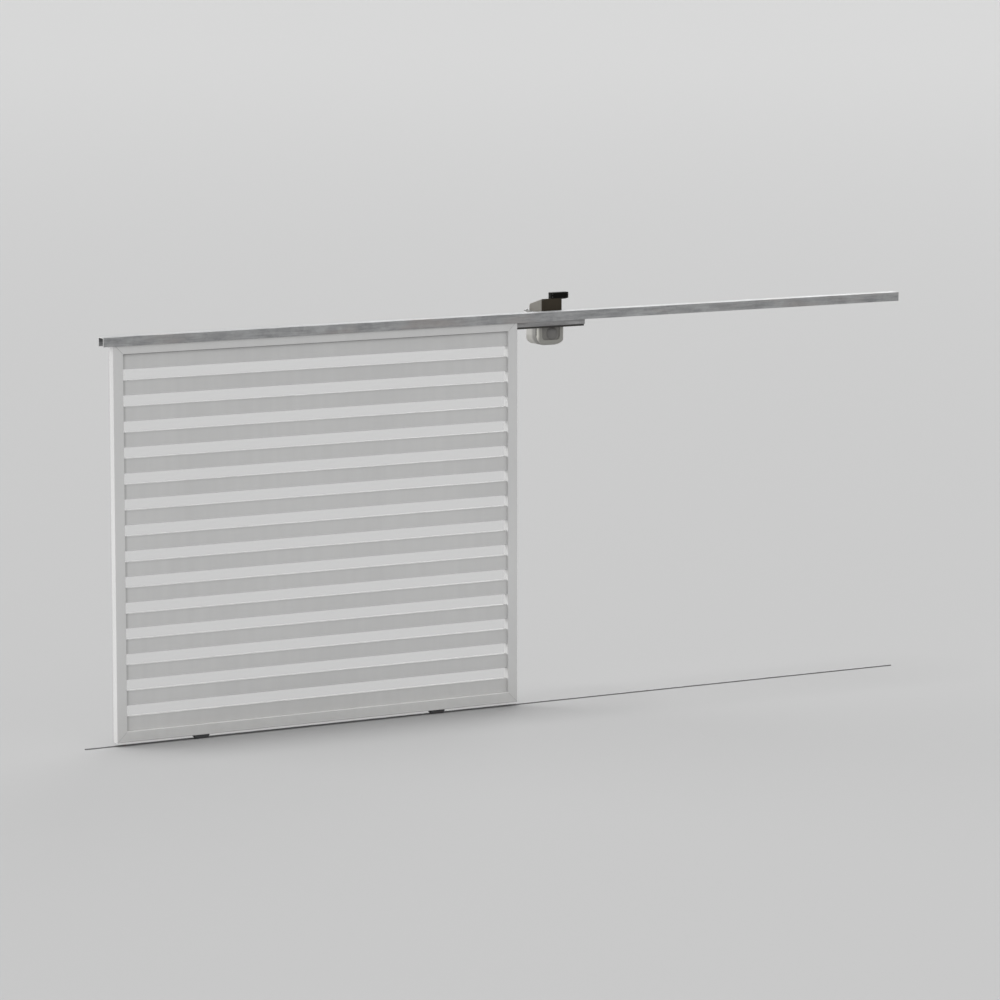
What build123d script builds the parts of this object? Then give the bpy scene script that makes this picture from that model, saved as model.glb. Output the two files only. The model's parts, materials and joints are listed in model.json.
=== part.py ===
"""Electric sliding driveway gate.

A slatted aluminium leaf rolls on a half-round floor track on two grooved wheels. Its top edge is guided by
nylon blocks inside a galvanised channel, and an overhead gear motor is bolted behind that channel.

Frame: X runs along the gate from the leaf's left edge when it is shut, Y points to the back from the middle
of the track, Z points up from the underside of the track.
"""

import os

from build123d import *

# Leaf
LEAF_WIDTH = 2520.0
LEAF_HEIGHT = 2197.5
GROUND_GAP = 22.0
FRAME_FACE = 60.0
FRAME_DEPTH = 50.0
FRAME_WALL = 2.0
FRAME_CORNER = 3.5

# Slats
SLAT_COUNT = 15
SLAT_HEAD_GAP = 2.4
SLAT_FACE = 81.5
SLAT_DEPTH = 34.0
SLAT_WALL = 1.6
SLAT_RECESS = 15.0
SLAT_EDGE = 1.2

# Floor track
TRACK_WIDTH = 12.0
TRACK_EDGE = 1.0
TRACK_LEFT = 184.0
TRACK_RIGHT = 2602.0

# Wheels and the boxes that carry them
WHEEL_INSET = 517.0
WHEEL_RIM = 3.0
GROOVE_PLAY = 2.0
GROOVE_DEPTH = 5.0
HUB_RADIUS = 13.0
HUB_PLAY = 0.5
AXLE_RADIUS = 6.0
AXLE_HEAD_RADIUS = 9.0
AXLE_HEAD_ROOM = 0.4
BORE_CLEARANCE = 0.05
BOX_LENGTH = 88.0
BOX_WALL = 3.0
BOX_SIDE_ROOM = 5.0
BOX_TOP_ROOM = 5.7
BOX_FLOOR_GAP = 4.0
BOX_CORNER = 10.0
RUNNING_GAP = 0.3

# Top channel and the blocks that run in it
CHANNEL_WIDTH = 65.0
CHANNEL_HEIGHT = 52.0
CHANNEL_WALL = 5.0
CHANNEL_EDGE = 2.0
CHANNEL_LEFT = 60.0
CHANNEL_RIGHT = 2605.0
CHANNEL_LAP = 14.5
BLOCK_LENGTH = 120.0
BLOCK_INSET = 160.0
BLOCK_ROOF_ROOM = 5.0
BLOCK_CHAMFER = 8.0

# Motor bracket with its foot bar, and base plate, behind the top channel
BRACKET_START = 12.0
BRACKET_LENGTH = 466.0
BRACKET_HEIGHT = 75.0
BRACKET_DEPTH = 30.0
BRACKET_WALL = 3.0
BRACKET_BEND = 4.5
BRACKET_DROP = 36.0
BAR_THICKNESS = 8.5
BAR_SHORTER = 6.0
PLATE_OFFSET = 170.0
PLATE_LENGTH = 200.0
PLATE_DEPTH = 190.0
PLATE_THICKNESS = 4.0
PLATE_SETBACK = 3.5
PLATE_CORNER = 10.0

# Gear case on the plate and the terminal box on its sloping top
CASE_OFFSET = 28.0
CASE_WIDTH = 131.0
CASE_DEPTH = 142.0
CASE_SETBACK = 29.0
CASE_FRONT_HEIGHT = 75.0
CASE_BACK_HEIGHT = 36.0
CASE_BACK_ROUND = 18.0
CASE_EDGE = 4.0
COVER_THICKNESS = 3.0
COVER_CORNER = 5.0
TERMINAL_OFFSET = 62.0
TERMINAL_WIDTH = 114.0
TERMINAL_DEPTH = 36.0
TERMINAL_HEIGHT = 33.0
TERMINAL_OVERHANG = 1.5
TERMINAL_CORNER = 4.0
TERMINAL_EDGE = 2.0

# Motor under the base plate: a bowl with a round underside, its front a cap with a sunk panel and a knob
MOTOR_OFFSET = 6.0
MOTOR_WIDTH = 176.0
MOTOR_DEPTH = 154.0
MOTOR_HEIGHT = 191.0
MOTOR_SIDE_ROUND = 62.0
MOTOR_FRONT_ROUND = 40.0
MOTOR_BACK_ROUND = 75.0
MOTOR_CORNER = 24.0
MOTOR_CLEARANCE = 2.5
CAP_LENGTH = 23.0
SEAM_WIDTH = 5.0
SEAM_DEPTH = 4.0
PANEL_OFFSET = 26.0
PANEL_WIDTH = 118.0
PANEL_FOOT = 32.0
PANEL_HEIGHT = 147.0
PANEL_CORNER = 24.0
PANEL_RECESS = 6.0
PANEL_THICKNESS = 2.0
PANEL_PLAY = 0.3
DISC_RADIUS = 36.0
DISC_OFFSET = 94.0
DISC_HEIGHT = 69.0
DISC_THICKNESS = 12.0
DISC_EDGE = 5.0

# Levels and places that follow from the sizes above
leaf_low = GROUND_GAP
leaf_high = GROUND_GAP + LEAF_HEIGHT
opening_width = LEAF_WIDTH - 2 * FRAME_FACE
opening_height = LEAF_HEIGHT - 2 * FRAME_FACE
slat_pitch = (opening_height - SLAT_HEAD_GAP - SLAT_FACE) / (SLAT_COUNT - 1)

track_radius = TRACK_WIDTH / 2
track_height = TRACK_EDGE + track_radius
box_high = leaf_low + FRAME_FACE - FRAME_WALL
wheel_low = track_height + RUNNING_GAP - GROOVE_DEPTH
wheel_high = box_high - BOX_WALL - BOX_TOP_ROOM
wheel_radius = (wheel_high - wheel_low) / 2
axle_height = wheel_low + wheel_radius
groove_half = track_radius + GROOVE_PLAY
wheel_half = groove_half + WHEEL_RIM
wheel_places = (WHEEL_INSET, LEAF_WIDTH - WHEEL_INSET)
box_inner = 2 * (wheel_half + BOX_SIDE_ROOM)
box_outer = box_inner + 2 * BOX_WALL
axle_head = FRAME_DEPTH / 2 - FRAME_WALL - AXLE_HEAD_ROOM - box_outer / 2

channel_low = leaf_high - CHANNEL_LAP
channel_high = channel_low + CHANNEL_HEIGHT
channel_inner = CHANNEL_WIDTH - 2 * CHANNEL_WALL
block_places = (BLOCK_INSET, LEAF_WIDTH - BLOCK_INSET)
block_height = channel_high - CHANNEL_WALL - BLOCK_ROOF_ROOM - leaf_high

bracket_left = LEAF_WIDTH + BRACKET_START
bracket_front = CHANNEL_WIDTH / 2
bracket_back = bracket_front + BRACKET_DEPTH
bracket_low = channel_low - BRACKET_DROP
bracket_high = bracket_low + BRACKET_HEIGHT
plate_left = bracket_left + PLATE_OFFSET
plate_front = bracket_front + PLATE_SETBACK
plate_high = bracket_high + PLATE_THICKNESS
case_left = plate_left + CASE_OFFSET
case_front = plate_front + CASE_SETBACK
case_slope = (CASE_FRONT_HEIGHT - CASE_BACK_HEIGHT) / CASE_DEPTH
cover_front = case_front - COVER_THICKNESS
terminal_front = cover_front - TERMINAL_OVERHANG
terminal_back = terminal_front + TERMINAL_DEPTH
motor_left = plate_left + MOTOR_OFFSET
motor_low = bracket_high - MOTOR_HEIGHT
cap_front = bracket_back + MOTOR_CLEARANCE
cap_back = cap_front + CAP_LENGTH
motor_front = cap_back + SEAM_WIDTH
motor_back = cap_front + MOTOR_DEPTH
panel_middle = (motor_left + PANEL_OFFSET + PANEL_WIDTH / 2, motor_low + PANEL_FOOT + PANEL_HEIGHT / 2)
panel_front = cap_front + PANEL_RECESS
panel_back = panel_front + PANEL_THICKNESS

os.makedirs("parts", exist_ok=True)


def save(builder, name):
    """Label one finished piece and write it to its own file."""
    builder.part.label = name
    export_step(builder.part, f"parts/{name}.step")


# Leaf frame: four box tubes with round corners, mitred where they meet
inner_face = FRAME_FACE - 2 * FRAME_WALL
inner_depth = FRAME_DEPTH - 2 * FRAME_WALL
with BuildPart() as left_stile:
    with BuildSketch(Plane.XY.offset(leaf_low)):
        with Locations((FRAME_FACE / 2, 0)):
            RectangleRounded(FRAME_FACE, FRAME_DEPTH, FRAME_CORNER)
            Rectangle(inner_face, inner_depth, mode=Mode.SUBTRACT)
    extrude(amount=LEAF_HEIGHT)
    split(bisect_by=Plane((0, 0, leaf_low), z_dir=(-1, 0, 1)), keep=Keep.TOP)
    split(bisect_by=Plane((0, 0, leaf_high), z_dir=(-1, 0, -1)), keep=Keep.TOP)
save(left_stile, "frame_left_stile")

with BuildPart() as right_stile:
    mirror(left_stile.part, about=Plane.YZ.offset(LEAF_WIDTH / 2))
save(right_stile, "frame_right_stile")

with BuildPart() as top_tube:
    with BuildSketch(Plane.YZ):
        with Locations((0, leaf_high - FRAME_FACE / 2)):
            RectangleRounded(FRAME_DEPTH, FRAME_FACE, FRAME_CORNER)
            Rectangle(inner_depth, inner_face, mode=Mode.SUBTRACT)
    extrude(amount=LEAF_WIDTH)
    split(bisect_by=Plane((0, 0, leaf_high), z_dir=(1, 0, 1)), keep=Keep.TOP)
    split(bisect_by=Plane((LEAF_WIDTH, 0, leaf_high), z_dir=(-1, 0, 1)), keep=Keep.TOP)
save(top_tube, "frame_top_rail")

with BuildPart() as bottom_tube:
    mirror(top_tube.part, about=Plane.XY.offset((leaf_low + leaf_high) / 2))
    with BuildSketch(Plane.XY.offset(leaf_low)):
        with Locations(*[(x, 0) for x in wheel_places]):
            Rectangle(BOX_LENGTH, box_outer)
    extrude(amount=FRAME_WALL, mode=Mode.SUBTRACT)
save(bottom_tube, "frame_bottom_rail")

# Slats: hollow extrusions set back in the frame, stacked up from the bottom tube
slat_middle = SLAT_RECESS + SLAT_DEPTH / 2 - FRAME_DEPTH / 2
for number in range(SLAT_COUNT):
    slat_height = leaf_low + FRAME_FACE + SLAT_FACE / 2 + number * slat_pitch
    with BuildPart() as slat:
        with BuildSketch(Plane.YZ.offset(FRAME_FACE)) as slat_section:
            with Locations((slat_middle, slat_height)):
                Rectangle(SLAT_DEPTH, SLAT_FACE)
                chamfer(slat_section.vertices(), SLAT_EDGE)
                Rectangle(SLAT_DEPTH - 2 * SLAT_WALL, SLAT_FACE - 2 * SLAT_WALL, mode=Mode.SUBTRACT)
        extrude(amount=opening_width)
    save(slat, f"slat_{number + 1:02d}")

# Floor track: a half-round bar on a short straight edge
with BuildPart() as track:
    with BuildSketch(Plane.YZ.offset(-TRACK_LEFT)):
        with BuildLine():
            Line((-track_radius, TRACK_EDGE), (-track_radius, 0))
            Line((-track_radius, 0), (track_radius, 0))
            Line((track_radius, 0), (track_radius, TRACK_EDGE))
            ThreePointArc((track_radius, TRACK_EDGE), (0, track_height), (-track_radius, TRACK_EDGE))
        make_face()
    extrude(amount=TRACK_LEFT + LEAF_WIDTH + TRACK_RIGHT)
save(track, "floor_track")

# Wheel sets: box, axle and grooved wheel at each end of the leaf's bottom tube
hub_half = box_inner / 2 - HUB_PLAY
bore_radius = AXLE_RADIUS + BORE_CLEARANCE
for side, wheel_x in zip(("left", "right"), wheel_places):
    with BuildPart() as wheel_box:
        with BuildSketch(Plane.YZ.offset(wheel_x)):
            with Locations((0, (BOX_FLOOR_GAP + box_high) / 2)):
                Rectangle(box_outer, box_high - BOX_FLOOR_GAP)
            with Locations((0, (BOX_FLOOR_GAP + box_high) / 2 - BOX_WALL)):
                Rectangle(box_inner, box_high - BOX_FLOOR_GAP, mode=Mode.SUBTRACT)
        extrude(amount=BOX_LENGTH / 2, both=True)
        lower_ends = wheel_box.edges().filter_by(Axis.Y).group_by(Axis.Z)[0]
        chamfer(lower_ends, BOX_CORNER)
        with BuildSketch(Plane.XZ):
            with Locations((wheel_x, axle_height)):
                Circle(AXLE_RADIUS)
        extrude(amount=box_outer / 2, both=True, mode=Mode.SUBTRACT)
    save(wheel_box, f"wheel_box_{side}")

    with BuildPart() as axle:
        with BuildSketch(Plane.XZ):
            with Locations((wheel_x, axle_height)):
                Circle(AXLE_RADIUS)
        extrude(amount=box_outer / 2, both=True)
        for head_plane in (Plane.XZ.offset(box_outer / 2), Plane.XZ.offset(-box_outer / 2 - axle_head)):
            with BuildSketch(head_plane):
                with Locations((wheel_x, axle_height)):
                    RegularPolygon(AXLE_HEAD_RADIUS, 6)
            extrude(amount=axle_head)
    save(axle, f"axle_{side}")

    with BuildPart() as wheel:
        with BuildSketch(Plane.YZ.offset(wheel_x)):
            with BuildLine():
                Polyline(
                    (0, axle_height + bore_radius),
                    (hub_half, axle_height + bore_radius),
                    (hub_half, axle_height + HUB_RADIUS),
                    (wheel_half, axle_height + HUB_RADIUS),
                    (wheel_half, axle_height + wheel_radius),
                    (groove_half, axle_height + wheel_radius),
                    (track_radius / 2, axle_height + wheel_radius - GROOVE_DEPTH),
                    (0, axle_height + wheel_radius - GROOVE_DEPTH),
                    close=True,
                )
            make_face()
            mirror(about=Plane.YZ)
        revolve(axis=Axis((wheel_x, 0, axle_height), (0, 1, 0)))
    save(wheel, f"wheel_{side}")

# Top channel: an inverted U that the leaf's top edge runs in, drawn as the upper half of a box tube
with BuildPart() as channel:
    with BuildSketch(Plane.YZ.offset(-CHANNEL_LEFT)):
        with Locations((0, channel_low)):
            RectangleRounded(CHANNEL_WIDTH, 2 * CHANNEL_HEIGHT, CHANNEL_EDGE)
            Rectangle(channel_inner, 2 * (CHANNEL_HEIGHT - CHANNEL_WALL), mode=Mode.SUBTRACT)
        with Locations((0, channel_low - CHANNEL_HEIGHT / 2)):
            Rectangle(CHANNEL_WIDTH, CHANNEL_HEIGHT, mode=Mode.SUBTRACT)
    extrude(amount=CHANNEL_LEFT + LEAF_WIDTH + CHANNEL_RIGHT)
save(channel, "top_channel")

# Guide blocks on the leaf's top tube
for side, block_x in zip(("left", "right"), block_places):
    with BuildPart() as block:
        with BuildSketch(Plane.XY.offset(leaf_high)):
            with Locations((block_x, 0)):
                Rectangle(BLOCK_LENGTH, channel_inner - 2 * RUNNING_GAP)
        extrude(amount=block_height)
        chamfer(block.edges().filter_by(Axis.Z), BLOCK_CHAMFER)
    save(block, f"guide_block_{side}")

# Motor bracket: a channel with its web against the back of the top channel, the front half of a round tube
bracket_middle = (bracket_low + bracket_high) / 2
with BuildPart() as bracket:
    with BuildSketch(Plane.YZ.offset(bracket_left)):
        with Locations((bracket_back, bracket_middle)):
            RectangleRounded(2 * BRACKET_DEPTH, BRACKET_HEIGHT, BRACKET_BEND)
            RectangleRounded(
                2 * (BRACKET_DEPTH - BRACKET_WALL),
                BRACKET_HEIGHT - 2 * BRACKET_WALL,
                BRACKET_BEND - BRACKET_WALL,
                mode=Mode.SUBTRACT,
            )
        with Locations((bracket_back + BRACKET_DEPTH / 2, bracket_middle)):
            Rectangle(BRACKET_DEPTH, BRACKET_HEIGHT, mode=Mode.SUBTRACT)
    extrude(amount=BRACKET_LENGTH)
save(bracket, "motor_bracket")

# Flat bar under the bracket's lower flange
with BuildPart() as bar:
    with Locations((bracket_left, bracket_front, bracket_low - BAR_THICKNESS)):
        Box(
            BRACKET_LENGTH - BAR_SHORTER,
            BRACKET_DEPTH,
            BAR_THICKNESS,
            align=(Align.MIN, Align.MIN, Align.MIN),
        )
save(bar, "bracket_bar")

with BuildPart() as plate:
    with BuildSketch(Plane.XY.offset(bracket_high)):
        with Locations((plate_left + PLATE_LENGTH / 2, plate_front + PLATE_DEPTH / 2)):
            RectangleRounded(PLATE_LENGTH, PLATE_DEPTH, PLATE_CORNER)
    extrude(amount=PLATE_THICKNESS)
save(plate, "base_plate")

# Gear case: its top slopes down to a rounded back
with BuildPart() as case:
    with BuildSketch(Plane.YZ.offset(case_left)) as case_section:
        with BuildLine():
            Polyline(
                (case_front, plate_high),
                (case_front + CASE_DEPTH, plate_high),
                (case_front + CASE_DEPTH, plate_high + CASE_BACK_HEIGHT),
                (case_front, plate_high + CASE_FRONT_HEIGHT),
                close=True,
            )
        make_face()
        back_top = case_section.vertices().group_by(Axis.X)[-1].sort_by(Axis.Y)[-1]
        fillet(back_top, CASE_BACK_ROUND)
    extrude(amount=CASE_WIDTH)
    fillet(case.edges().filter_by(Axis.Z), CASE_EDGE)
save(case, "gear_case")

# Cover plate over the gear case's open front
with BuildPart() as cover:
    with BuildSketch(Plane.XZ.offset(-case_front)):
        with Locations((case_left + CASE_WIDTH / 2, plate_high + CASE_FRONT_HEIGHT / 2)):
            RectangleRounded(CASE_WIDTH, CASE_FRONT_HEIGHT, COVER_CORNER)
    extrude(amount=COVER_THICKNESS)
save(cover, "case_cover")

# Terminal box: its underside follows the slope of the gear case and its lip hangs over the front
with BuildPart() as terminal:
    with BuildSketch(Plane.YZ.offset(case_left + TERMINAL_OFFSET)):
        with BuildLine():
            Polyline(
                (terminal_front, plate_high + CASE_FRONT_HEIGHT),
                (case_front, plate_high + CASE_FRONT_HEIGHT),
                (terminal_back, plate_high + CASE_FRONT_HEIGHT - case_slope * (terminal_back - case_front)),
                (terminal_back, plate_high + CASE_FRONT_HEIGHT + TERMINAL_HEIGHT),
                (terminal_front, plate_high + CASE_FRONT_HEIGHT + TERMINAL_HEIGHT),
                close=True,
            )
        make_face()
    extrude(amount=TERMINAL_WIDTH)
    fillet(terminal.edges().filter_by(Axis.Z), TERMINAL_CORNER)
    chamfer(terminal.faces().sort_by(Axis.Z)[-1].edges(), TERMINAL_EDGE)
save(terminal, "terminal_box")

# Motor, hung from the base plate: the space that its front, side and plan outlines share
def bowl(front, back, inset):
    """The motor's bowl between two upright planes across Y, drawn in by inset on every outer face."""
    middle = (motor_left + MOTOR_WIDTH / 2, cap_front + MOTOR_DEPTH / 2, motor_low + MOTOR_HEIGHT / 2)
    width = MOTOR_WIDTH - 2 * inset
    depth = MOTOR_DEPTH - 2 * inset
    height = MOTOR_HEIGHT - 2 * inset
    with BuildPart() as shape:
        with BuildSketch(Plane.XZ.offset(-front)) as front_view:
            with Locations((middle[0], middle[2])):
                Rectangle(width, height)
            fillet(front_view.vertices().group_by(Axis.Y)[0], MOTOR_SIDE_ROUND - inset)
        extrude(amount=front - back)
        with BuildSketch(Plane.YZ.offset(motor_left)) as side_view:
            with Locations((middle[1], middle[2])):
                Rectangle(depth, height)
            front_foot, back_foot = side_view.vertices().group_by(Axis.Y)[0].sort_by(Axis.X)
            fillet(front_foot, MOTOR_FRONT_ROUND - inset)
            fillet(back_foot, MOTOR_BACK_ROUND - inset)
        extrude(amount=MOTOR_WIDTH, mode=Mode.INTERSECT)
        with BuildSketch(Plane.XY.offset(motor_low)):
            with Locations((middle[0], middle[1])):
                RectangleRounded(width, depth, MOTOR_CORNER - inset)
        extrude(amount=MOTOR_HEIGHT, mode=Mode.INTERSECT)
    return shape.part


with BuildPart() as motor:
    add(bowl(motor_front, motor_back, 0))
save(motor, "motor_body")

# Front cap, with the neck that leaves a seam between it and the body, and the recess in its front
with BuildPart() as cap:
    add(bowl(cap_front, cap_back, 0))
    add(bowl(cap_back, motor_front, SEAM_DEPTH))
    with BuildSketch(Plane.XZ.offset(-panel_back)):
        with Locations(panel_middle):
            RectangleRounded(PANEL_WIDTH, PANEL_HEIGHT, PANEL_CORNER)
    extrude(amount=panel_back - cap_front, mode=Mode.SUBTRACT)
save(cap, "motor_cap")

with BuildPart() as panel:
    with BuildSketch(Plane.XZ.offset(-panel_back)):
        with Locations(panel_middle):
            RectangleRounded(
                PANEL_WIDTH - 2 * PANEL_PLAY,
                PANEL_HEIGHT - 2 * PANEL_PLAY,
                PANEL_CORNER - PANEL_PLAY,
            )
    extrude(amount=PANEL_THICKNESS)
save(panel, "motor_panel")

# Round knob on the panel
with BuildPart() as disc:
    with BuildSketch(Plane.XZ.offset(-panel_front)):
        with Locations((motor_left + DISC_OFFSET, motor_low + DISC_HEIGHT)):
            Circle(DISC_RADIUS)
    extrude(amount=DISC_THICKNESS)
    chamfer(disc.faces().sort_by(Axis.Y)[0].edges(), DISC_EDGE)
save(disc, "motor_disc")
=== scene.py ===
# %% [markdown]
# # An electric sliding gate, dressed from its CAD frame
#
# The gate is a slatted aluminium leaf that rolls on a floor track, with its top edge held in a
# zinc-coated channel and a gear motor behind that channel. The CAD model already has every tube, slat
# and housing in its place, so this lesson does three things: it gives each of those solids a real
# finish, it adds the small pieces that the solids leave out, and it sets up a camera, soft light and
# a floor.

import json
import math

import bmesh
import bpy
import numpy as np
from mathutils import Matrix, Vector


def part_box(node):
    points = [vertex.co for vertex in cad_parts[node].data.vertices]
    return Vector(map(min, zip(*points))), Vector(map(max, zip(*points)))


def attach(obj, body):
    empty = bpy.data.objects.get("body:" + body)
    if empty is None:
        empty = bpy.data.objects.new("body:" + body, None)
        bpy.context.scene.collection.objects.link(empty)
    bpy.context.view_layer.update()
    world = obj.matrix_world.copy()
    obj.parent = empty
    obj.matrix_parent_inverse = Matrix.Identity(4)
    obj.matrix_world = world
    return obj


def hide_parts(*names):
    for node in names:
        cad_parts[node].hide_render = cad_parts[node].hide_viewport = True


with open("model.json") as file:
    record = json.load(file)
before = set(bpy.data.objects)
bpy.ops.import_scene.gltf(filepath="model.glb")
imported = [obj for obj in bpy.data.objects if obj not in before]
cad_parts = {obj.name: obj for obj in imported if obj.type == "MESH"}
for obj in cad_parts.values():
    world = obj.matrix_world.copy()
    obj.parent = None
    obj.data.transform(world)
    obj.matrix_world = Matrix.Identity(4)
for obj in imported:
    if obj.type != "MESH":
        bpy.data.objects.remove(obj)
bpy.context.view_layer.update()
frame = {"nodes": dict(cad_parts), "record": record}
nodes = frame["nodes"]

# %% [markdown]
# ## The camera
#
# The picture was taken from far to the left with a long lens: the slats' edges nearly stay parallel.
# A camera is fixed by a place, a heading, a tilt and a focal length. These came from matching the
# straight lines of the slats, channel and track, so they are written here as plain numbers. A wider
# lens from closer would bend the outline.

# %% Camera
PICTURE_SIDE = 1000
FOCAL_PIXELS = 4657.25
SENSOR_WIDTH = 36.0
CAMERA_PLACE = (-10.549, -22.830, 4.929)
CAMERA_HEADING = 29.60
CAMERA_TILT = 8.094

camera_data = bpy.data.cameras.new("gate_camera")
camera_data.sensor_width = SENSOR_WIDTH
camera_data.lens = SENSOR_WIDTH * FOCAL_PIXELS / PICTURE_SIDE
camera_data.clip_end = 1000.0
camera = bpy.data.objects.new("gate_camera", camera_data)
camera.location = CAMERA_PLACE
camera.rotation_euler = (math.radians(90 - CAMERA_TILT), 0, math.radians(-CAMERA_HEADING))
bpy.context.scene.collection.objects.link(camera)
bpy.context.scene.camera = camera
print(f"lens {camera_data.lens:.1f} mm")

# %% [markdown]
# ## Shader sums as Python
#
# A finish is a sum of patterns: some noise, a few cells, a height. Drawing each sum with Math nodes
# by hand is slow to read, so one small class wraps an output socket and lets Python's own operators
# add those nodes. Everything that isn't a sum, such as a noise texture or a colour mix, comes from
# its one `node` method.


# %% Sockets that add up
class Wire:
    """An output socket of a node tree. Arithmetic on it adds Math nodes; node() adds any other kind."""

    def __init__(self, tree, socket):
        self.tree = tree
        self.socket = socket

    def node(self, kind, settings=None, inputs=None, output=0):
        """Add a node: its settings first, then a value or a Wire for each named or numbered input."""
        made = self.tree.nodes.new(kind)
        for key, value in (settings or {}).items():
            setattr(made, key, value)
        for key, value in (inputs or {}).items():
            if isinstance(value, Wire):
                self.tree.links.new(value.socket, made.inputs[key])
            else:
                made.inputs[key].default_value = value
        return Wire(self.tree, made.outputs[output])

    def math(self, operation, *others, swap=False):
        """One Math node on this wire and up to two more values; swap puts this wire second."""
        values = [*others, self] if swap else [self, *others]
        return self.node("ShaderNodeMath", {"operation": operation}, dict(enumerate(values)))

    def __add__(self, other):
        return self.math("ADD", other)

    __radd__ = __add__

    def __mul__(self, other):
        return self.math("MULTIPLY", other)

    __rmul__ = __mul__

    def __sub__(self, other):
        return self.math("SUBTRACT", other)

    def __rsub__(self, other):
        return self.math("SUBTRACT", other, swap=True)

    def clamp(self):
        """Keep the value between 0 and 1."""
        return self.node("ShaderNodeClamp", {}, {"Value": self})

    def ramp(self, low, high):
        """Rise smoothly from 0 at low to 1 at high."""
        limits = {"Value": self, "From Min": low, "From Max": high}
        return self.node("ShaderNodeMapRange", {"interpolation_type": "SMOOTHSTEP"}, limits)

    def noise(self, scale, detail=2.0, rough=0.5):
        """Cloudy noise, about 0.5 on average, read at this wire's coordinates."""
        sizes = {"Vector": self, "Scale": scale, "Detail": detail, "Roughness": rough}
        return self.node("ShaderNodeTexNoise", {}, sizes)

    def cells(self, scale):
        """A different random value in each cell of a Voronoi pattern."""
        colour = self.node("ShaderNodeTexVoronoi", {}, {"Vector": self, "Scale": scale}, "Color")
        return colour.node("ShaderNodeSeparateColor", {}, {"Color": colour}, "Red")

    def stretched(self, x, y, z):
        """These coordinates with each axis scaled, so that a pattern can run in streaks."""
        return self.node("ShaderNodeMapping", {}, {"Vector": self, "Scale": (x, y, z)})

    def along(self, axis):
        """The X, Y or Z of these coordinates."""
        return self.node("ShaderNodeSeparateXYZ", {}, {"Vector": self}, axis)

    def tint(self, first, second):
        """Mix two colours by this wire: first at 0, second at 1."""
        tones = [value if isinstance(value, Wire) else (*value, 1.0) for value in (first, second)]
        return self.node("ShaderNodeMix", {"data_type": "RGBA"}, {0: self, 6: tones[0], 7: tones[1]}, 2)

    def bump(self, distance, strength=1.0):
        """Turn this wire into a surface normal, distance metres high."""
        sizes = {"Height": self, "Distance": distance, "Strength": strength}
        return self.node("ShaderNodeBump", {}, sizes, "Normal")


def finish(name, **fixed):
    """A new material with fixed values; returns it, its shader and its Object coordinates."""
    material = bpy.data.materials.new(name)
    material.use_nodes = True
    shader = material.node_tree.nodes["Principled BSDF"]
    for key, value in fixed.items():
        shader.inputs[key.replace("_", " ")].default_value = value
    place = material.node_tree.nodes.new("ShaderNodeTexCoord").outputs["Object"]
    return material, shader, Wire(material.node_tree, place)


def feed(shader, **wires):
    """Link wires to the shader's inputs by name."""
    for key, wire in wires.items():
        wire.tree.links.new(wire.socket, shader.inputs[key.replace("_", " ")])


print("shader arithmetic ready")

# %% [markdown]
# ## Powder coat
#
# The leaf is aluminium under a pale grey powder coat. Close up the coat has a fine orange peel, rain
# leaves faint vertical streaks, and dust gathers near the ground. A plain grey would look like
# plastic, so three noises at very different scales are laid over each other: millimetres for the
# peel, a hand's width for streaks, metres for tone.
#
# The slats also get painted shade: a grey line under each top edge and in the corner by the left stile.
# All slats share one pattern: the height above the lowest slat, divided by the pitch, leaves a remainder
# that says how far up its own slat a point is.

# %% Powder coat
SLAT_LOW = 0.082
SLAT_PITCH = 0.1424
SLAT_FACE = 0.0815
SLAT_LEFT = 0.060


def slat_painted_shade(place):
    """Share of painted shade on a slat: it rises up to the top edge, and again beside the left stile."""
    rise = (place.along("Z") - SLAT_LOW).math("MODULO", SLAT_PITCH)
    corner = 1 - place.along("X").ramp(SLAT_LEFT + 0.010, SLAT_LEFT + 0.024)
    return (0.36 * rise.ramp(SLAT_FACE - 0.017, SLAT_FACE) + 0.50 * corner).clamp()


def powder_coat(name, colour, shade, dirt_and_shade=None):
    """Pale satin paint: streaks and clouds mix colour with shade, dust lies low, fine peel bumps it."""
    material, shader, place = finish(name, IOR=1.45)
    cloud = place.noise(1.3, 3.0)
    streak = place.stretched(9.0, 9.0, 0.6).noise(2.0, 4.0)
    tone = (0.55 * cloud + 0.45 * streak).ramp(0.32, 0.68)
    dust = (1 - place.along("Z").ramp(0.02, 0.30)) * place.noise(14.0, 4.0, 0.65)
    paint = tone.tint(colour, shade)
    # On the slats a grey is mixed in as painted shade, under each top edge and beside the left stile.
    if dirt_and_shade:
        paint = dirt_and_shade(place).tint(paint, (0.36, 0.36, 0.355))
    feed(
        shader,
        Base_Color=(dust * 0.35).clamp().tint(paint, (0.45, 0.435, 0.41)),
        Roughness=0.36 + 0.16 * place.noise(40.0, 3.0) + 0.15 * dust,
        Normal=place.noise(700.0, 2.0).bump(0.00006, 0.6),
    )
    return material


frame_coat = powder_coat("frame_coat", (0.635, 0.635, 0.630), (0.600, 0.600, 0.596))
slat_coat = powder_coat("slat_coat", (0.602, 0.602, 0.598), (0.567, 0.567, 0.564), slat_painted_shade)
print("powder coat:", frame_coat.name, slat_coat.name)

# %% [markdown]
# ## Hot-dip zinc
#
# The channel and the motor bracket were dipped in molten zinc, which freezes into flat crystals a few
# centimetres across: the spangle. Each crystal reflects a little differently. Voronoi cells give that
# directly, one random value per cell, so two sizes of cell are mixed into colour and roughness. The
# zinc also drained along the length of the profile, which left long streaks, and it was sawn to
# length afterwards, so the two ends are bare and bright.

# %% Zinc spangle
SAWN = 0.0006


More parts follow.
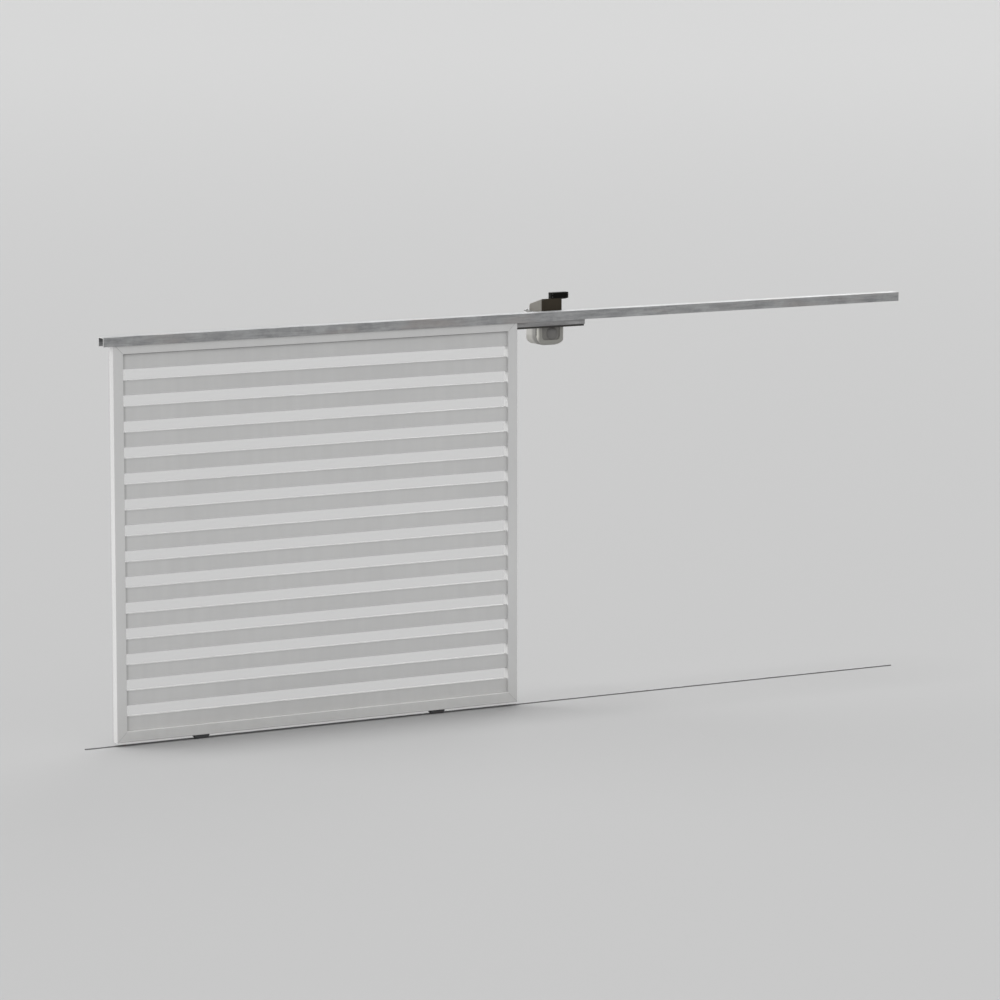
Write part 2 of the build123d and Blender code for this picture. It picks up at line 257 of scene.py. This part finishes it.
def zinc(name, dark, light, size, ends):
    """Zinc: crystals about size metres across, streaks along X and clouds; bare metal at both ends."""
    material, shader, place = finish(name, Metallic=0.70)
    large = place.cells(1.0 / size)
    small = place.cells(2.6 / size)
    streak = place.stretched(7.0, 40.0, 60.0).noise(1.0, 5.0, 0.65).ramp(0.30, 0.70)
    cloud = place.noise(5.0, 4.0, 0.6).ramp(0.25, 0.75)
    tone = (0.14 * large + 0.12 * small + 0.45 * streak + 0.29 * cloud).clamp()
    warm = place.stretched(1.0, 1.0, 3.0).noise(2.6, 4.0, 0.6).ramp(0.50, 0.72)
    length = place.along("X")
    inside = length.ramp(ends[0], ends[0] + SAWN) * (1 - length.ramp(ends[1] - SAWN, ends[1]))
    dipped = (0.55 * warm).tint(tone.tint(dark, light), (0.38, 0.35, 0.335))
    feed(
        shader,
        Base_Color=inside.tint((0.60, 0.60, 0.59), dipped),
        Roughness=0.40 + 0.14 * small + 0.16 * warm,
        Normal=(large + 0.6 * streak + 0.4 * place.noise(160.0, 3.0)).bump(0.00010, 0.5),
    )
    return material


channel_ends = [corner.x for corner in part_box("top_channel")]
bracket_ends = [corner.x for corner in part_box("motor_bracket")]
channel_zinc = zinc("channel_zinc", (0.195, 0.199, 0.203), (0.445, 0.449, 0.453), 0.030, channel_ends)
bracket_zinc = zinc("bracket_zinc", (0.23, 0.228, 0.23), (0.46, 0.458, 0.46), 0.024, bracket_ends)
print("zinc:", channel_zinc.name, bracket_zinc.name)

# %% [markdown]
# ## Running steel
#
# The track is drawn bar: dull and dark on its flanks, polished along its crown where the wheels roll.
# Wheels, axles and wheel boxes are dark, oily steel with a little rust bloom. One function covers
# them, with a polished height.


# %% Running steel
def running_steel(name, dark, bright, crown, rust):
    """Dark steel that gets brighter above the height crown; rust is the share of brown bloom."""
    material, shader, place = finish(name, Metallic=0.75)
    grain = place.stretched(3.0, 90.0, 90.0).noise(6.0, 4.0)
    polish = place.along("Z").ramp(crown - 0.002, crown + 0.001) * grain.ramp(0.25, 0.6)
    bloom = place.noise(30.0, 5.0, 0.65).ramp(0.52, 0.75) * rust
    steel = polish.tint(dark, bright)
    feed(
        shader,
        Base_Color=bloom.tint(steel, (0.16, 0.085, 0.045)),
        Roughness=0.52 - 0.22 * polish + 0.25 * bloom,
        Normal=grain.bump(0.00010, 0.4),
    )
    return material


NO_CROWN = 9.0
track_steel = running_steel("track_steel", (0.13, 0.13, 0.133), (0.32, 0.32, 0.325), 0.0060, 0.30)
box_steel = running_steel("box_steel", (0.075, 0.075, 0.078), (0.09, 0.09, 0.092), NO_CROWN, 0.25)
wheel_steel = running_steel("wheel_steel", (0.11, 0.11, 0.115), (0.14, 0.14, 0.145), NO_CROWN, 0.18)
axle_steel = running_steel("axle_steel", (0.36, 0.36, 0.37), (0.45, 0.45, 0.46), NO_CROWN, 0.10)
plate_steel = running_steel("plate_steel", (0.17, 0.168, 0.165), (0.22, 0.22, 0.22), NO_CROWN, 0.22)
bar_steel = running_steel("bar_steel", (0.060, 0.058, 0.055), (0.08, 0.08, 0.08), NO_CROWN, 0.20)
bolt_steel = running_steel("bolt_steel", (0.40, 0.40, 0.40), (0.48, 0.48, 0.48), NO_CROWN, 0.16)
print("steel:", track_steel.name, box_steel.name, wheel_steel.name, axle_steel.name, plate_steel.name)

# %% [markdown]
# ## Cast enamel and moulded plastic
#
# The motor's housings are castings under thick enamel, so the sand of the mould still shows as a soft
# pebble. The terminal box and the knob are moulded plastic with a much finer, even spark texture.
# Both are the same recipe with other sizes: pebbles for the bump, dirt in a slow noise, and a
# roughness that follows the dirt. The gloss is one number for a whole piece, so it goes straight on
# the shader.

# %% Enamel and plastic
# Share of its colour that a housing keeps where its front and bottom get painted shade.
PAINTED_SHADE_SHARE = 0.53


def moulded(name, colour, dirt_and_shade, pebble, height, rough, gloss=0.4, shade_limits=None):
    """Enamel or plastic: pebbles of that size and height, dirt in slow clouds that also dulls it.

    The last argument gives two depths and two heights: the paint keeps its colour behind and above
    them, and in front of and below them it is painted darker, as painted shade on a housing's front and
    bottom.
    """
    material, shader, place = finish(name, IOR=1.5, Specular_IOR_Level=gloss)
    grime = place.noise(11.0, 5.0, 0.6).ramp(0.42, 0.78)
    run_off = place.stretched(40.0, 40.0, 3.0).noise(2.0, 3.0).ramp(0.50, 0.80)
    soil = (0.6 * grime + 0.4 * run_off).clamp()
    paint = (soil * 0.7).tint(colour, dirt_and_shade)
    # Painted shade: in front of the two depths and below the two heights the paint is darker.
    if shade_limits:
        unshaded = place.along("Y").ramp(*shade_limits[:2]) * place.along("Z").ramp(*shade_limits[2:])
        paint = unshaded.tint(tuple(PAINTED_SHADE_SHARE * tone for tone in colour), paint)
    feed(
        shader,
        Base_Color=paint,
        Roughness=rough + 0.22 * soil,
        Normal=place.noise(1.0 / pebble, 3.0).bump(height, 0.7),
    )
    return material


CAST = (0.0030, 0.00025, 0.45)
SMOOTH = (0.0020, 0.00012, 0.50)
SPARK = (0.0012, 0.00008, 0.48)
# Limits of the painted shade: the motor body darkens towards its front shoulder and bottom, the cap on
# its front face and bottom.
MOTOR_SHOULDER_SHADE = (0.120, 0.150, 2.03, 2.05)
CAP_FACE_SHADE = (0.067, 0.074, 2.070, 2.110)
motor_enamel = moulded(
    "motor_enamel", (0.410, 0.401, 0.377), (0.32, 0.306, 0.278), *CAST, shade_limits=MOTOR_SHOULDER_SHADE
)
cap_enamel = moulded("cap_enamel", (0.60, 0.59, 0.545), (0.51, 0.50, 0.445), *CAST, shade_limits=CAP_FACE_SHADE)
case_enamel = moulded("case_enamel", (0.158, 0.149, 0.130), (0.114, 0.103, 0.086), *CAST)
cover_enamel = moulded("cover_enamel", (0.036, 0.028, 0.017), (0.027, 0.021, 0.014), *SMOOTH, 0.2)
black_plastic = moulded("black_plastic", (0.0045, 0.0045, 0.0037), (0.007, 0.0066, 0.0055), *SPARK, 0.06)
panel_plastic = moulded("panel_plastic", (0.205, 0.200, 0.187), (0.158, 0.152, 0.142), *SPARK)
disc_plastic = moulded("disc_plastic", (0.175, 0.171, 0.164), (0.138, 0.133, 0.127), *SPARK)
seam_seal = moulded("seam_seal", (0.46, 0.46, 0.455), (0.38, 0.375, 0.365), *SPARK, 0.2)
nylon = moulded("nylon", (0.68, 0.67, 0.62), (0.50, 0.48, 0.42), *SPARK)
print("enamel and plastic ready")

# %% [markdown]
# ## Dressing the solids
#
# Every CAD solid keeps its mesh and only changes its material. A table from the record's own slot
# names to our finishes does it in one pass, and a solid whose slot is missing from the table would
# stop the lesson.

# %% Materials on the solids
FINISHES = {
    "leaf_paint": frame_coat,
    "slat_paint": slat_coat,
    "track_steel": track_steel,
    "galvanised": channel_zinc,
    "bracket_zinc": bracket_zinc,
    "bar_steel": bar_steel,
    "plate_steel": plate_steel,
    "gear_case_paint": case_enamel,
    "black_plastic": black_plastic,
    "motor_paint": motor_enamel,
    "cap_paint": cap_enamel,
    "cover_paint": cover_enamel,
    "panel_plastic": panel_plastic,
    "disc_plastic": disc_plastic,
    "box_steel": box_steel,
    "axle_steel": axle_steel,
    "wheel_steel": wheel_steel,
    "nylon": nylon,
}
for part in frame["record"]["subparts"]:
    mesh = nodes[part["node"]].data
    mesh.materials.clear()
    mesh.materials.append(FINISHES[part["material_slot"]])

# %% [markdown]
# ## Skins made of rings
#
# The small pieces that follow are bolts, beads and gaskets. Each is a closed skin over rings of
# points: a ring for every step along the piece, and the same count of points round each ring. The
# first and last ring shrink to one point, which closes the ends. Working with whole arrays means that
# four bolts cost no more code than one.


# %% Skin helper
def skin(name, rings, body, coat):
    """Join an array of copies x rings x points x 3 with quads; merge doubles, turn faces out."""
    copies, count, around = rings.shape[:3]
    index = np.arange(copies * count * around).reshape(copies, count, around)
    ahead = np.roll(index, -1, axis=2)
    quads = np.stack([index[:, :-1], ahead[:, :-1], ahead[:, 1:], index[:, 1:]], axis=-1).reshape(-1, 4)
    mesh = bpy.data.meshes.new(name)
    mesh.from_pydata(rings.reshape(-1, 3).tolist(), [], quads.tolist())
    work = bmesh.new()
    work.from_mesh(mesh)
    bmesh.ops.remove_doubles(work, verts=work.verts, dist=1e-6)
    bmesh.ops.recalc_face_normals(work, faces=work.faces)
    work.to_mesh(mesh)
    work.free()
    mesh.polygons.foreach_set("use_smooth", np.ones(len(mesh.polygons), dtype=bool))
    mesh.set_sharp_from_angle(angle=math.radians(32))
    mesh.materials.append(coat)
    piece = bpy.data.objects.new(name, mesh)
    bpy.context.scene.collection.objects.link(piece)
    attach(piece, body)
    print(f"{name}: {copies} with {len(mesh.polygons)} faces")
    return piece


print("skins ready")

# %% [markdown]
# ## Mitre seams
#
# The four tubes of the leaf are cut at 45 degrees and meet in a thin line at each corner, filled with
# a grey sealant and painted over. A line drawn in the material would vanish from the side, so the
# seam is a real bead: a flat ellipse that runs from near the outer corner to near the inner one and
# fades out at both ends.


# %% Beads along straight runs
def beads(starts, ends, out, wide, proud, steps, ripple=0.0, ripple_length=1.0):
    """Straight beads, one per pair of starts and ends.

    A ring's point is the place along the run, plus cosine times half the width to the side, plus sine
    times the proud height outwards. Both shrink to zero at the ends with a steep superellipse, and a
    ripple swells them.
    """
    starts, ends = np.asarray(starts, float), np.asarray(ends, float)
    out = np.broadcast_to(np.asarray(out, float), starts.shape)
    run = ends - starts
    length = np.linalg.norm(run, axis=1, keepdims=True)
    side = np.cross(run / length, out)
    share = np.linspace(0, 1, steps)
    fade = np.sqrt(np.clip(1 - np.abs(2 * share - 1) ** 24, 0, 1))
    swell = fade * (1 + ripple * np.cos(2 * np.pi * share * length.mean() / ripple_length))
    turn = np.linspace(0, 2 * np.pi, 16, endpoint=False)
    middle = starts[:, None, :] + share[None, :, None] * run[:, None, :]
    across = wide / 2 * np.cos(turn)[:, None] * side[:, None, None, :]
    proudly = proud * np.sin(turn)[:, None] * out[:, None, None, :]
    return middle[:, :, None, :] + swell[None, :, None, None] * (across + proudly)


print("beads ready")

# %% Mitre seams
leaf_low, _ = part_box("frame_bottom_rail")
_, leaf_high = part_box("frame_top_rail")
TUBE_FACE = 0.060
TUBE_HALF = 0.025
SEAM_START = 0.003
SEAM_END = TUBE_FACE - 0.002
SEAM_WIDE = 0.0026
SEAM_PROUD = 0.0005
SEAM_STEPS = 30
CORNERS = np.array([
    [leaf_low.x, leaf_low.z, 1, 1],
    [leaf_low.x, leaf_high.z, 1, -1],
    [leaf_high.x, leaf_low.z, -1, 1],
    [leaf_high.x, leaf_high.z, -1, -1],
])


def mitre_points(inset):
    """Points on the four mitres of both faces: each outer corner moved in by inset along X and Z."""
    moved = CORNERS[:, :2] + inset * CORNERS[:, 2:]
    faces = np.repeat([-TUBE_HALF, TUBE_HALF], 4)
    return np.c_[np.tile(moved[:, 0], 2), faces, np.tile(moved[:, 1], 2)]


mitre_out = np.c_[np.zeros(8), np.repeat([-1.0, 1.0], 4), np.zeros(8)]
mitre_rings = beads(
    mitre_points(SEAM_START), mitre_points(SEAM_END), mitre_out, SEAM_WIDE, SEAM_PROUD, SEAM_STEPS
)
skin("mitre_seams", mitre_rings, "leaf", seam_seal)

# %% [markdown]
# ## Weld beads on the wheel boxes
#
# Each wheel box is let into the bottom tube and welded along its two long sides. A hand-laid weld
# looks like a row of overlapping coins, so the same bead function gets a ripple of about 3 mm.

# %% Weld beads
WELD_SHORT = 0.002
WELD_WIDE = 0.0046
WELD_PROUD = 0.0023
WELD_STEPS = 130
WELD_RIPPLE = 0.09
RIPPLE_LENGTH = 0.0032
weld_runs = []
for side_name in ("left", "right"):
    box_low, box_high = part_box(f"wheel_box_{side_name}")
    for y in (box_low.y, box_high.y):
        weld_start = [box_low.x + WELD_SHORT, y, leaf_low.z]
        weld_end = [box_high.x - WELD_SHORT, y, leaf_low.z]
        weld_runs.append([weld_start, weld_end])
weld_starts, weld_ends = np.array(weld_runs).swapaxes(0, 1)
weld_rings = beads(
    weld_starts, weld_ends, (0, 0, -1), WELD_WIDE, WELD_PROUD, WELD_STEPS, WELD_RIPPLE, RIPPLE_LENGTH
)
skin("box_welds", weld_rings, "leaf", box_steel)

# %% [markdown]
# ## Turned fasteners
#
# Bolts, nuts and screws are shapes turned about an axis: a radius and a height for every ring. A
# hexagon is a radius that changes with the turn, so the same grid gives both round washers and
# six-sided heads. Separate Boolean cuts would leave uneven meshes.

# %% Turned rings
TURN = np.linspace(0, 2 * np.pi, 48, endpoint=False)
SUNK = -0.0005
WASHER_EDGE = 0.0004
HEXAGON_SLOPE = 0.0009
STUD_EDGE = 0.0006
FACING = {
    "up": ((1, 0, 0), (0, 1, 0), (0, 0, 1)),
    "front": ((1, 0, 0), (0, 0, 1), (0, -1, 0)),
    "back": ((-1, 0, 0), (0, 0, 1), (0, 1, 0)),
}


def turned(radius, height, places, facing):
    """Rings at each place: radius times cosine and sine of the turn, and height along the facing axis."""
    height = np.broadcast_to(height, radius.shape)
    local = np.stack([radius * np.cos(TURN), radius * np.sin(TURN), height], axis=-1)
    return np.asarray(places, float)[:, None, None, :] + local @ np.array(FACING[facing], float)


def hexagon_head(across, tall, washer_radius, washer_tall, stud=0.0):
    """Radius and height of a washer with a hexagon on it, and a stud's end that stands out of the top.

    A hexagon's radius is half its width across flats over the cosine of the angle to the nearest
    flat. The top ring is the circle inside the flats, which slopes the corners as a turned chamfer does.
    """
    round_ring = np.ones_like(TURN)
    to_flat = (TURN + np.pi / 6) % (np.pi / 3) - np.pi / 6
    hexagon = across / 2 / np.cos(to_flat)
    top = washer_tall + tall
    circles = [0, washer_radius, washer_radius, washer_radius - WASHER_EDGE]
    radius = [r * round_ring for r in circles] + [hexagon, hexagon, 0.47 * across * round_ring]
    height = [SUNK, SUNK, washer_tall - WASHER_EDGE, washer_tall, washer_tall, top - HEXAGON_SLOPE, top]
    if stud:
        radius += [r * round_ring for r in (0.26 * across, 0.26 * across, 0.22 * across)]
        height += [top, top + stud - STUD_EDGE, top + stud]
    radius.append(0 * round_ring)
    height.append(height[-1])
    return np.array(radius), np.array(height)[:, None]


print(f"turned shapes have {len(TURN)} points round")

# %% [markdown]
# ## Bolts of the base plate and the bracket
#
# Four bolts hold the base plate: two go down into the bracket's top flange, two into the motor that
# hangs below. The bracket itself is bolted to the back of the channel, with nuts inside its hollow
# where a spanner can reach.

# %% Plate bolts and bracket nuts
plate_low, plate_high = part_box("base_plate")
bracket_low, bracket_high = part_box("motor_bracket")
FRONT_INSET = 0.0125
BACK_INSET = 0.0135
SIDE_INSETS = (0.0130, 0.0130, 0.0140, 0.0260)
SPANNER_SIZE = 0.013
BOLT_TALL = 0.0053
BOLT_WASHER = 0.0085
WASHER_TALL = 0.0016
plate_y = np.repeat([plate_low.y + FRONT_INSET, plate_high.y - BACK_INSET], 2)
plate_x = np.array([plate_low.x, plate_high.x] * 2) + np.array([1, -1, 1, -1]) * SIDE_INSETS
plate_places = np.c_[plate_x, plate_y, np.full(4, plate_high.z)]
bolt_head = hexagon_head(SPANNER_SIZE, BOLT_TALL, BOLT_WASHER, WASHER_TALL)
skin("plate_bolts", turned(*bolt_head, plate_places, "up"), "guideway", bolt_steel)

BRACKET_WALL = 0.003
NUT_HEIGHT = 2.2245
NUT_OFFSETS = (0.028, 0.138, 0.398, 0.442)
NUT_TALL = 0.0065
NUT_WASHER = 0.0095
STUD_TALL = 0.0045
nut_x = bracket_low.x + np.array(NUT_OFFSETS)
nut_places = np.c_[nut_x, np.full(4, bracket_low.y + BRACKET_WALL), np.full(4, NUT_HEIGHT)]
nut_head = hexagon_head(SPANNER_SIZE, NUT_TALL, NUT_WASHER, WASHER_TALL, STUD_TALL)
skin("bracket_nuts", turned(*nut_head, nut_places, "back"), "guideway", bolt_steel)

# %% [markdown]
# ## Housing screws
#
# The gear case's cover and the terminal box's lid are each held by four pan-head screws. A screw head
# is a low dome, and its cross recess is where the dome sinks near either of two crossing lines.


# %% Housing screws
def cross_screw(wide, tall):
    """Radius and height of a pan head: a dome less a cross, sunk near two lines across it."""
    share = np.r_[0, 1, 1, np.linspace(1, 0, 13)][:, None] * np.ones_like(TURN)
    level = tall * (1 - 0.5 * share**2)
    near_line = np.minimum(np.abs(np.cos(TURN)), np.abs(np.sin(TURN))) * share < 0.13
    level -= 0.55 * tall * (near_line & (share < 0.62))
    level[:2] = SUNK
    return wide / 2 * share, level


cover_low, cover_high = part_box("case_cover")
lid_low, lid_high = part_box("terminal_box")
SCREW_INSET = 0.008
SCREW_WIDE = 0.0076
SCREW_TALL = 0.0026
screw_places = [
    [x, low.y, z]
    for low, high, foot in ((cover_low, cover_high, cover_low.z), (lid_low, lid_high, cover_high.z))
    for x in (low.x + SCREW_INSET, high.x - SCREW_INSET)
    for z in (foot + SCREW_INSET, high.z - SCREW_INSET)
]
screw_rings = turned(*cross_screw(SCREW_WIDE, SCREW_TALL), screw_places, "front")
skin("housing_screws", screw_rings, "guideway", bar_steel)

# %% [markdown]
# ## The release knob
#
# A round knob sits on the motor's front panel. The solid for it is a plain disc, so a turned shape
# takes its place: a thin flange, a low wall, and a dome that falls off as a power of the radius. A
# disc with a steep wall would show a dark crease where it meets the panel.

# %% Release knob
knob_low, knob_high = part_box("motor_disc")
KNOB_FLANGE = np.array([[0, 0.3], [36, 0.3], [36, 1.2], [35.6, 1.6], [34.6, 1.8]]) / 1000
DOME_RADIUS = 0.0344
DOME_FOOT = 0.0022
DOME_TALL = 0.0098
dome_share = np.linspace(1, 0, 16)[:, None]
dome_height = DOME_FOOT + DOME_TALL * (1 - dome_share**2.2) ** 0.9
knob_dome = np.hstack([DOME_RADIUS * dome_share, dome_height])
knob_profile = np.vstack([KNOB_FLANGE, knob_dome])
knob_radius = knob_profile[:, :1] * np.ones_like(TURN)
knob_middle = (knob_low + knob_high) / 2
knob_seat = [[knob_middle.x, knob_high.y, knob_middle.z]]
knob_rings = turned(knob_radius, knob_profile[:, 1:], knob_seat, "front")
knob = skin("release_knob", knob_rings, "guideway", disc_plastic)
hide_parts("motor_disc")

# %% [markdown]
# ## Gaskets
#
# A rubber gasket lies in the groove between the motor's body and its cap, and a thinner one under the
# terminal box's lid. Both are a small rounded section carried along the housing's outline. The
# outline is straight runs and quarter circles; numpy's interp walks it at an even spacing, and the
# outward normal is the direction of travel turned by a right angle.


# %% Sections along an outline
def outline(points, radius, spacing):
    """An open path through points in X and Z whose inner corners are quarter circles of that radius."""
    first, second = points[1], points[2]
    angle = np.linspace(0, np.pi / 2, 24)[:, None]
    path = [points[:1]]
    for before, corner, after in ((points[0], first, second), (first, second, points[3])):
        into = (corner - before) / np.linalg.norm(corner - before)
        away = (after - corner) / np.linalg.norm(after - corner)
        bend = into * (np.sin(angle) - 1) + away * (1 - np.cos(angle))
        path.append(corner + radius * bend)
    path = np.concatenate([*path, points[3:]])
    walked = np.r_[0, np.cumsum(np.linalg.norm(np.diff(path, axis=0), axis=1))]
    evenly = np.linspace(0, walked[-1], int(walked[-1] / spacing))
    return np.c_[np.interp(evenly, walked, path[:, 0]), np.interp(evenly, walked, path[:, 1])]


def gasket(path, y, wide, proud):
    """Carry a rounded section along a path: a squared-off ellipse, proud outwards and wide along Y."""
    travel = np.gradient(path, axis=0)
    travel /= np.linalg.norm(travel, axis=1, keepdims=True)
    outward = np.c_[travel[:, 1], -travel[:, 0]]
    turn = np.linspace(0, 2 * np.pi, 20, endpoint=False)
    wave = np.stack([np.cos(turn), np.sin(turn)])
    up, across = np.sign(wave) * np.abs(wave) ** 0.6
    size = np.r_[0, np.ones(len(path) - 2), 0][:, None]
    lift = proud * up * size
    rings = np.stack([
        path[:, :1] + lift * outward[:, :1],
        y + wide / 2 * across * size,
        path[:, 1:] + lift * outward[:, 1:],
    ], axis=-1)
    return rings[None]


print("gasket sections ready")

# %% Motor and lid gaskets
cap_low, cap_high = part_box("motor_cap")
GROOVE_DEEP = 0.004
NECK_LIFT = 0.0065
NECK_ROUND = 0.058
GASKET_SETBACK = 0.0045
GASKET_WIDE = 0.0090
GASKET_PROUD = 0.0052
GASKET_STEP = 0.003
left, right = cap_low.x + GROOVE_DEEP, cap_high.x - GROOVE_DEEP
foot, top = cap_low.z + NECK_LIFT, cap_high.z - GROOVE_DEEP
motor_turns = np.array([[left, top], [left, foot], [right, foot], [right, top]])
motor_path = outline(motor_turns, NECK_ROUND, GASKET_STEP)
motor_gasket = gasket(motor_path, cap_high.y - GASKET_SETBACK, GASKET_WIDE, GASKET_PROUD)
skin("motor_gasket", motor_gasket, "guideway", black_plastic)

LID_DEEP = 0.010
LID_FOOT = 0.009
LID_ROUND = 0.004
LID_SEAL_WIDE = 0.002
LID_SEAL_PROUD = 0.0006
LID_SEAL_STEP = 0.002
left, right = lid_low.x, lid_high.x
foot, top = lid_low.z + LID_FOOT, lid_high.z
lid_turns = np.array([[right, foot], [right, top], [left, top], [left, foot]])
lid_path = outline(lid_turns, LID_ROUND, LID_SEAL_STEP)
lid_gasket = gasket(lid_path, lid_low.y + LID_DEEP, LID_SEAL_WIDE, LID_SEAL_PROUD)
skin("lid_gasket", lid_gasket, "guideway", black_plastic)

# %% [markdown]
# ## Floor and light
#
# A studio floor runs to the horizon and is a little brighter far away. The light is a pale sky all
# round with four very large lamps far off. One overhead makes the channel's top bright and the soft
# shadow under the leaf. One low down behind on the left lights the left faces and the insides of the
# gaps, and its weaker twin on the right lays the long faint shadow in front. A weak one in front lifts
# the fronts. A small lamp would draw every slat's shadow on the floor. Where the sky is seen, it has
# the far floor's tone, so that a low view shows no horizon.

# %% Floor
FLOOR_HALF = 400.0
FLOOR_MIDDLE = (-10.5, -22.8, 0.0)
NEAR_EDGE, FAR_EDGE = 20.0, 110.0
NEAR_TONE = (0.279, 0.279, 0.279)
FAR_TONE = (0.321, 0.321, 0.321)
floor_mesh = bpy.data.meshes.new("studio_floor")
corners = np.array([[-1, -1], [1, -1], [1, 1], [-1, 1]]) * FLOOR_HALF
floor_mesh.from_pydata(np.c_[corners, np.zeros(4)].tolist(), [], [(0, 1, 2, 3)])
floor = bpy.data.objects.new("studio_floor", floor_mesh)
bpy.context.scene.collection.objects.link(floor)
floor_finish, floor_shader, floor_place = finish("floor_finish", Roughness=0.9, Specular_IOR_Level=0.1)
two_points = {0: floor_place, 1: FLOOR_MIDDLE}
away = floor_place.node("ShaderNodeVectorMath", {"operation": "DISTANCE"}, two_points, "Value")
feed(floor_shader, Base_Color=away.ramp(NEAR_EDGE, FAR_EDGE).tint(NEAR_TONE, FAR_TONE))
floor_mesh.materials.append(floor_finish)
print("floor laid")

# %% Light
SKY = 0.60
HORIZON = 0.68
LAMPS = {
    "overhead_lamp": ((-0.05, 0.06, 0.99), 3.3, 24.0),
    "side_lamp": ((-0.75, 0.62, 0.22), 2.15, 50.0),
    "rim_lamp": ((0.75, 0.62, 0.36), 0.95, 40.0),
    "front_lamp": ((-0.05, -0.97, 0.20), 0.86, 120.0),
}
world = bpy.data.worlds.new("studio_sky")
bpy.context.scene.world = world
world.use_nodes = True
background = world.node_tree.nodes["Background"]
background.inputs["Color"].default_value = (1.0, 1.0, 1.0, 1.0)
rays = world.node_tree.nodes.new("ShaderNodeLightPath").outputs
camera_ray, glossy_ray, clear_ray = (
    Wire(world.node_tree, rays[f"Is {kind} Ray"]) for kind in ("Camera", "Glossy", "Transmission")
)
feed(background, Strength=SKY + (HORIZON - SKY) * (camera_ray + glossy_ray + clear_ray).clamp())
for name, (source, strength, spread) in LAMPS.items():
    lamp_data = bpy.data.lights.new(name, "SUN")
    lamp_data.energy = strength
    lamp_data.angle = math.radians(spread)
    lamp = bpy.data.objects.new(name, lamp_data)
    aim = np.array(source) / np.linalg.norm(source)
    lamp.rotation_euler = (math.acos(aim[2]), 0, math.atan2(aim[0], -aim[1]))
    bpy.context.scene.collection.objects.link(lamp)
bpy.context.scene.view_settings.view_transform = "Standard"
print(f"sky and {len(LAMPS)} lamps set")
